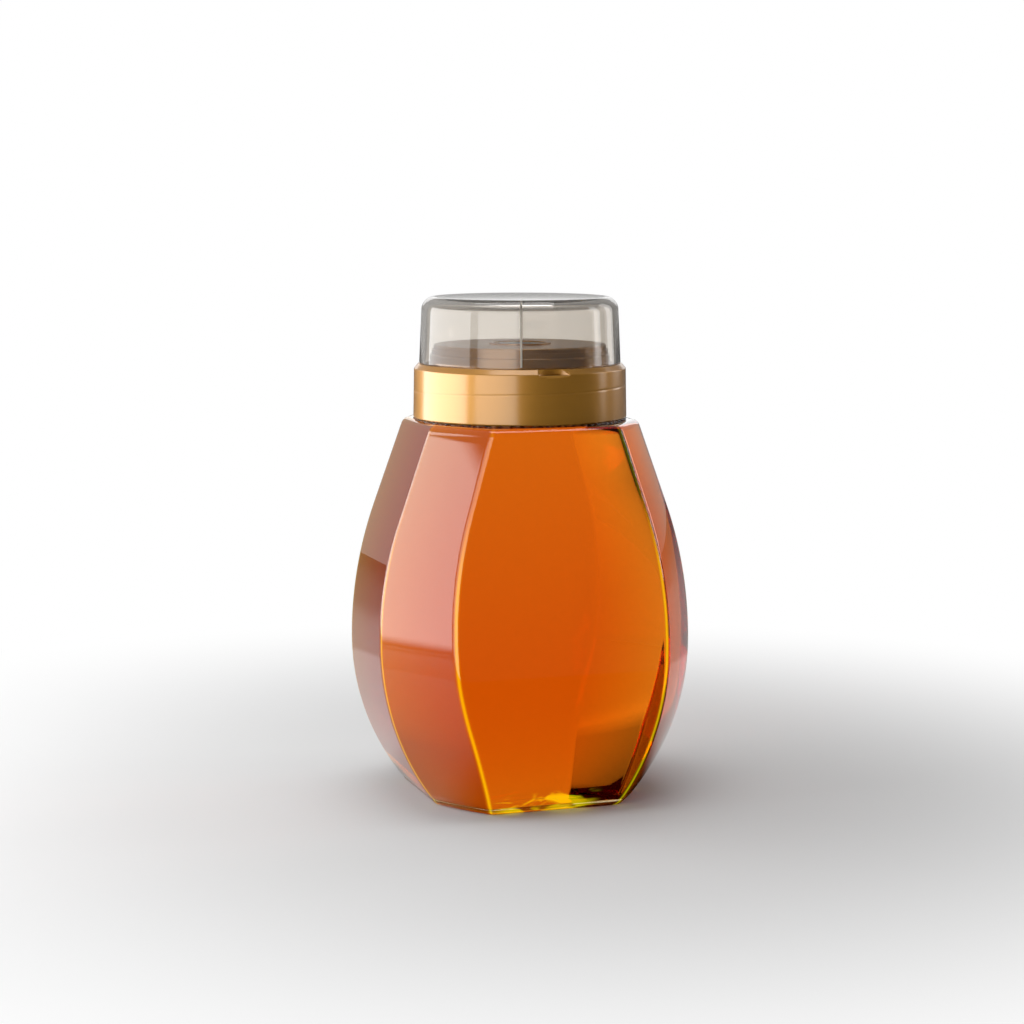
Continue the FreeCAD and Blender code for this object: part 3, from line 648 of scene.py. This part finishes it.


# The table is matt and white. Painted shade in reflections: mirror-like rays meet it darker,
# most of all towards the camera and beyond the board's edge.
board_radius = 0.24
board_edge = 0.03
table_paint, tree, output = new_material("table_white_matt_laminate")
path = add_node(tree, "ShaderNodeLightPath")
spot = add_node(tree, "ShaderNodeTexCoord")
outward = add_node(tree, "ShaderNodeVectorMath", {0: spot.outputs["Object"]}, operation="NORMALIZE")
away = add_node(tree, "ShaderNodeVectorMath", {0: spot.outputs["Object"]}, operation="LENGTH")
beyond = add_node(
    tree, "ShaderNodeMapRange", {"Value": away.outputs["Value"]}, interpolation_type="SMOOTHSTEP",
    From_Min=board_radius, From_Max=board_radius + board_edge, To_Min=0.35, To_Max=1.0,
)
front = add_node(tree, "ShaderNodeVectorMath", {0: outward.outputs[0]}, operation="DOT_PRODUCT")
front.inputs[1].default_value = (0.3, -0.95, 0.0)
facing = add_node(
    tree, "ShaderNodeMapRange", {"Value": front.outputs["Value"]},
    interpolation_type="SMOOTHSTEP", From_Min=-0.1, From_Max=0.6,
)
unlit = add_node(
    tree, "ShaderNodeMath", {0: beyond.outputs["Result"], 1: facing.outputs["Result"]},
    operation="MAXIMUM",
)
mirrored = add_node(
    tree, "ShaderNodeMath", {0: unlit.outputs[0], 1: path.outputs["Is Glossy Ray"]},
    operation="MULTIPLY",
)
matt = add_node(tree, "ShaderNodeBsdfDiffuse", Color=linear("#E6E6E6"))
# Painted shade: the darker copy of the table that only mirror-like rays meet.
reflection_shade_tone = add_node(tree, "ShaderNodeMix", {"Factor": facing.outputs["Result"]}, data_type="RGBA")
reflection_shade_tone.inputs[6].default_value = linear("#B0B0B0")
reflection_shade_tone.inputs[7].default_value = linear("#141414")
reflection_shade = add_node(tree, "ShaderNodeBsdfDiffuse", {"Color": reflection_shade_tone.outputs[2]})
board = add_node(
    tree, "ShaderNodeMixShader", {0: mirrored.outputs[0], 1: matt.outputs[0], 2: reflection_shade.outputs[0]}
)

# The camera sees the table fade into the white studio beyond the bottle's shadow.
shadow_end = 0.10
studio_start = 0.34
faded = add_node(
    tree, "ShaderNodeMapRange", {"Value": away.outputs["Value"]},
    interpolation_type="SMOOTHSTEP", From_Min=shadow_end, From_Max=studio_start,
)
open_view = add_node(
    tree, "ShaderNodeMath", {0: path.outputs["Is Camera Ray"], 1: faded.outputs["Result"]},
    operation="MULTIPLY",
)
white = add_node(tree, "ShaderNodeEmission", Color=linear("#FFFFFF"), Strength=1.0)
clear_view = add_node(
    tree, "ShaderNodeMixShader", {0: open_view.outputs[0], 1: board.outputs[0], 2: white.outputs[0]}
)

# Seen through the honey, the table takes on the backdrop's tones, with a brighter patch
# behind the bottle.
patch_place = (-0.06, 0.42, 0.0)
far = add_node(
    tree, "ShaderNodeMapRange", {"Value": away.outputs["Value"]},
    interpolation_type="SMOOTHSTEP", From_Min=0.45, From_Max=0.9, To_Min=0.2, To_Max=1.0,
)
tone, strength = add_backdrop(tree, spot.outputs["Object"], far.outputs["Result"])
patch = add_node(tree, "ShaderNodeVectorMath", {0: spot.outputs["Object"]}, operation="DISTANCE")
patch.inputs[1].default_value = patch_place
bright = add_node(
    tree, "ShaderNodeMapRange", {"Value": patch.outputs["Value"]},
    interpolation_type="SMOOTHSTEP", From_Min=0.04, From_Max=0.16, To_Min=0.3, To_Max=0.0,
)
strength = add_node(tree, "ShaderNodeMath", {0: strength, 1: bright.outputs["Result"]}, operation="ADD")
lit = add_node(tree, "ShaderNodeEmission", {"Color": tone, "Strength": strength.outputs[0]})
whole = add_node(
    tree, "ShaderNodeMixShader",
    {0: add_straight(tree, path), 1: clear_view.outputs[0], 2: lit.outputs[0]},
)
tree.links.new(whole.outputs[0], output.inputs["Surface"])
span = 3.0
table_corners = [(x, y, base_z) for x, y in ((-span, -span), (span, -span), (span, span), (-span, span))]
sheet("table", table_corners, table_paint)

# The studio's air: white to the camera, the backdrop through clear pieces, and the dim
# room in reflections.
world = bpy.data.worlds.new("studio_air")
bpy.context.scene.world = world
world.use_nodes = True
tree = world.node_tree
tree.nodes.clear()
path = add_node(tree, "ShaderNodeLightPath")
spot = add_node(tree, "ShaderNodeTexCoord")
dim = add_node(
    tree, "ShaderNodeBackground", {"Strength": add_room(tree, spot.outputs["Generated"])},
    Color=linear("#FFFFFF"),
)
seen = add_node(tree, "ShaderNodeBackground", Color=linear("#FFFFFF"), Strength=1.0)
whole_way = add_node(tree, "ShaderNodeValue")
whole_way.outputs[0].default_value = 1.0
tone, strength = add_backdrop(tree, spot.outputs["Generated"], whole_way.outputs[0])
through = add_node(tree, "ShaderNodeBackground", {"Color": tone, "Strength": strength})
open_air = add_node(
    tree, "ShaderNodeMixShader", {0: path.outputs["Is Camera Ray"], 1: dim.outputs[0], 2: seen.outputs[0]}
)
air = add_node(
    tree, "ShaderNodeMixShader",
    {0: add_straight(tree, path), 1: open_air.outputs[0], 2: through.outputs[0]},
)
add_node(tree, "ShaderNodeOutputWorld", {"Surface": air.outputs[0]})


def softbox(name, bearing, distance, low, high, width, power):
    """An upright rectangular lamp at a compass bearing in degrees, facing the bottle."""
    lamp = bpy.data.lights.new(name, "AREA")
    lamp.shape = "RECTANGLE"
    lamp.size = width
    lamp.size_y = high - low
    lamp.energy = power
    holder = bpy.data.objects.new(name, lamp)
    angle = math.radians(bearing)
    holder.location = (distance * math.cos(angle), distance * math.sin(angle), (low + high) / 2)
    holder.rotation_euler = (math.radians(90), 0, angle + math.radians(90))
    holder.visible_camera = False
    bpy.context.scene.collection.objects.link(holder)
    return holder


# The large softbox is a glowing cloth, even in its middle, with rounded soft corners.
cloth, tree, output = new_material("softbox_cloth_translucent")
spot = add_node(tree, "ShaderNodeTexCoord")
parts = add_node(tree, "ShaderNodeSeparateXYZ", {0: spot.outputs["Object"]})
cloth_half_width = 0.29
cloth_half_height = 0.146
cloth_middle = 0.152
cloth_bearing = math.radians(161)
cloth_distance = 0.42
corner = 0.05
sides = []
for axis, half in (("X", cloth_half_width), ("Z", cloth_half_height)):
    offset = add_node(tree, "ShaderNodeMath", {0: parts.outputs[axis]}, operation="ABSOLUTE")
    past = add_node(tree, "ShaderNodeMath", {0: offset.outputs[0]}, operation="SUBTRACT")
    past.inputs[1].default_value = half - corner
    beyond_corner = add_node(tree, "ShaderNodeMath", {0: past.outputs[0]}, operation="MAXIMUM")
    beyond_corner.inputs[1].default_value = 0.0
    sides.append(beyond_corner.outputs[0])
across = add_node(tree, "ShaderNodeCombineXYZ", {0: sides[0], 1: sides[1]})
reach_out = add_node(tree, "ShaderNodeVectorMath", {0: across.outputs[0]}, operation="LENGTH")
glow = add_node(
    tree, "ShaderNodeMapRange", {"Value": reach_out.outputs["Value"]},
    interpolation_type="SMOOTHSTEP",
    From_Min=corner * 0.6, From_Max=corner, To_Min=3.9, To_Max=0.3,
)
shine = add_node(
    tree, "ShaderNodeEmission", {"Strength": glow.outputs["Result"]}, Color=linear("#FFFFFF")
)
tree.links.new(shine.outputs[0], output.inputs["Surface"])
low_left = (-cloth_half_width, 0, -cloth_half_height)
low_right = (cloth_half_width, 0, -cloth_half_height)
high_right = (cloth_half_width, 0, cloth_half_height)
high_left = (-cloth_half_width, 0, cloth_half_height)
card = sheet("softbox_left", [low_left, low_right, high_right, high_left], cloth)
card.location = (
    cloth_distance * math.cos(cloth_bearing), cloth_distance * math.sin(cloth_bearing),
    base_z + cloth_middle,
)
card.rotation_euler = (0, 0, cloth_bearing - math.radians(90))
card.visible_camera = False
card.visible_transmission = False

softbox("fill_front_left", 226, 0.60, 0.003, 0.40, 0.50, 1.25)
softbox("strip_front_right", -9, 0.9, 0.10, 0.70, 0.17, 0.9)
softbox("strip_back_right", 18.5, 0.9, 0.10, 0.70, 0.26, 0.8)
rear = softbox("softbox_rear", 71.5, 1.5, 0.24, 0.62, 1.2, 1.3)
rear.visible_transmission = False
lamp = bpy.data.lights.new("overhead", "AREA")
lamp.size = 0.9
lamp.energy = 6.0
overhead = bpy.data.objects.new("overhead", lamp)
overhead.location = (0.0, 0.1, 1.3)
overhead.visible_camera = False
bpy.context.scene.collection.objects.link(overhead)

eye_turn = math.radians(18.5)
eye_distance = 0.85
eye_height = 0.20826
eye_dip = 7.52
lens = bpy.data.cameras.new("camera")
lens.sensor_width = 36.0
lens.lens = 87.7
lens.shift_x = -0.00767
camera = bpy.data.objects.new("camera", lens)
camera.location = (-eye_distance * math.sin(eye_turn), -eye_distance * math.cos(eye_turn), eye_height)
camera.rotation_euler = (math.radians(90 - eye_dip), 0.0, -eye_turn)
bpy.context.scene.collection.objects.link(camera)
bpy.context.scene.camera = camera
bpy.context.scene.view_settings.view_transform = "Standard"
bpy.context.scene.cycles.max_bounces = 32
bpy.context.scene.cycles.transmission_bounces = 32
bpy.context.scene.cycles.glossy_bounces = 12
